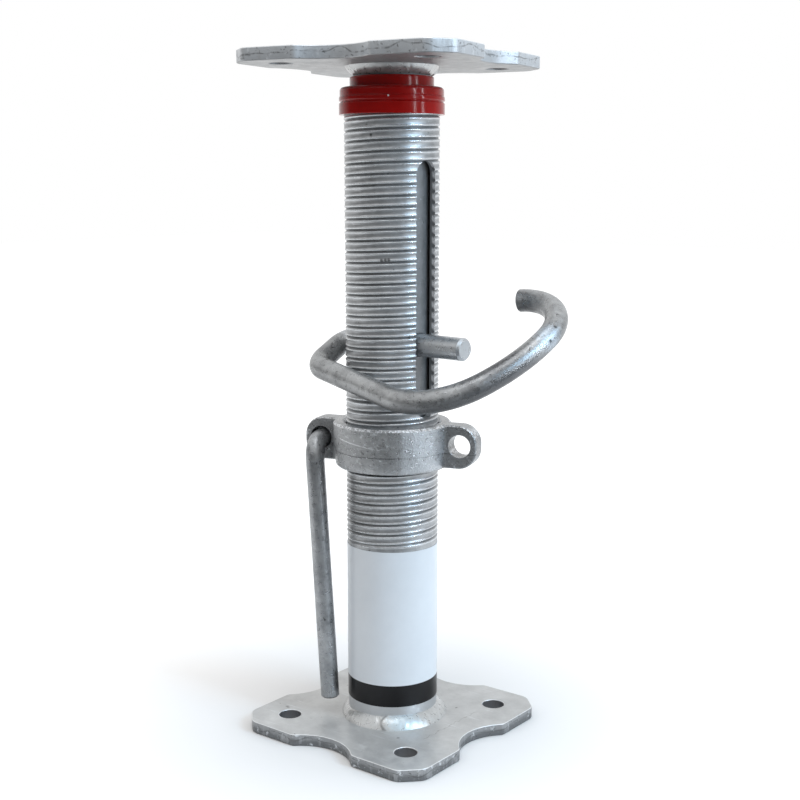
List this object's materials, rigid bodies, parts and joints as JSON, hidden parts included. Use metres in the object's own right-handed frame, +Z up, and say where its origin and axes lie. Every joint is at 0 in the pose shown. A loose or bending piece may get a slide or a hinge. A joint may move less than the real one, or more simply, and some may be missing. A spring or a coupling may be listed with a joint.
{
  "type": "adjustable steel prop",
  "caption": "Adjustable telescopic steel prop: threaded slotted outer tube, inner tube, bent locking pin, eared collar nut with swing handle and lobed end plates.",
  "frame": {"origin": "centre of the foot plate's underside, on the tubes' axis", "axes": "+Z up along the tubes to the head plate; the foot plate's straight sides run along X and Y, and the locking pin's free end points along +X, turned 5 degrees towards -Y"},
  "size_m": [0.204, 0.1686, 0.4435],
  "materials": {
    "galvanised_plate": "galvanised",
    "galvanised_weld": "galvanised",
    "galvanised_tube": "galvanised",
    "galvanised_bar": "galvanised",
    "cast_nut": "galvanised casting",
    "red_cap": "gloss",
    "label": "satin"
  },
  "bodies": {
    "stand": {"base_plate": "galvanised_plate", "base_weld": "galvanised_weld", "outer_tube": "galvanised_tube", "label": "label", "top_cap": "red_cap"},
    "inner_post": {"inner_tube": "galvanised_tube", "head_plate": "galvanised_plate", "head_weld": "galvanised_weld"},
    "pin": {"locking_pin": "galvanised_bar"},
    "nut": {"collar_nut": "cast_nut"},
    "handle": {"nut_handle": "galvanised_bar"}
  },
  "joints": [
    {"name": "inner_slide", "type": "slide", "parent": "stand", "child": "inner_post", "axis": [0, 0, 1], "range_m": [0, 0.107]},
    {"name": "pin_withdraw", "type": "slide", "parent": "inner_post", "child": "pin", "axis": [-0.9962, 0.0872, 0], "range_m": [0, 0.068]},
    {"name": "nut_turn", "type": "hinge", "parent": "stand", "child": "nut", "pos_m": [0, 0, 0.1964], "axis": [0, 0, 1], "continuous": true},
    {"name": "handle_swing", "type": "hinge", "parent": "nut", "child": "handle", "pos_m": [-0.04625, -0.01458, 0.19675], "axis": [-0.3007, 0.9537, 0], "range_deg": [0, 90]}
  ]
}
